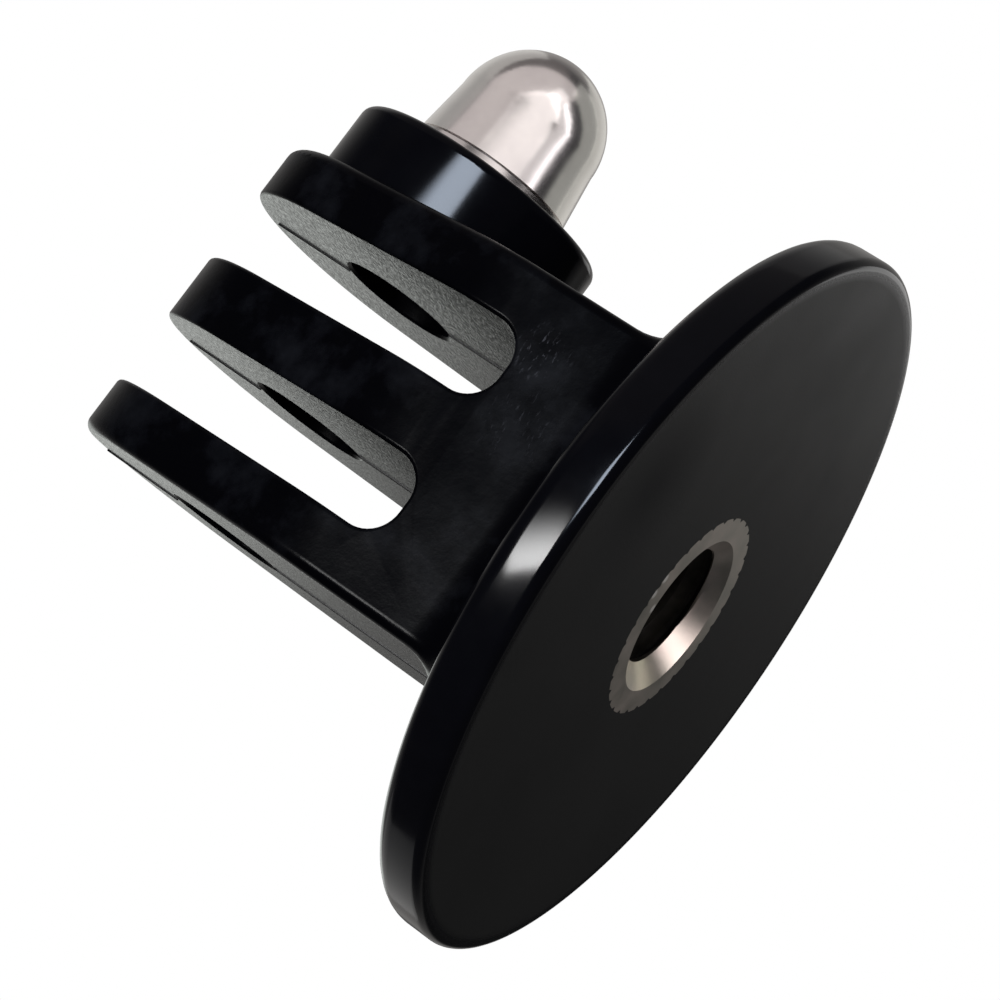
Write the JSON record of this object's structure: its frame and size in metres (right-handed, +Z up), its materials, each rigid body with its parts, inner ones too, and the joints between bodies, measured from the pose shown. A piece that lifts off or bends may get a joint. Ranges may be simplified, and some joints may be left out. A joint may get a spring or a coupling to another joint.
{
  "type": "action camera tripod adapter",
  "caption": "Moulded adapter with a round disc base, a threaded tripod insert and clevis prongs with a through bolt hole and a captive domed nut.",
  "frame": {"origin": "mouth of the tripod thread, in the middle of the disc's flat underside", "axes": "+Z up from the disc along the neck to the prongs; X along the clamping bolt, with the domed nut at the +X end; Y across the prongs' flanks"},
  "size_m": [0.033, 0.032, 0.0253],
  "materials": {
    "body": "glossy black moulding, satin on the disc's underside",
    "insert": "turned and knurled nickel-plated metal",
    "nut": "polished nickel plate"
  },
  "bodies": {
    "root": {"body": "body", "threaded_insert": "insert", "cap_nut": "nut"}
  },
  "joints": []
}
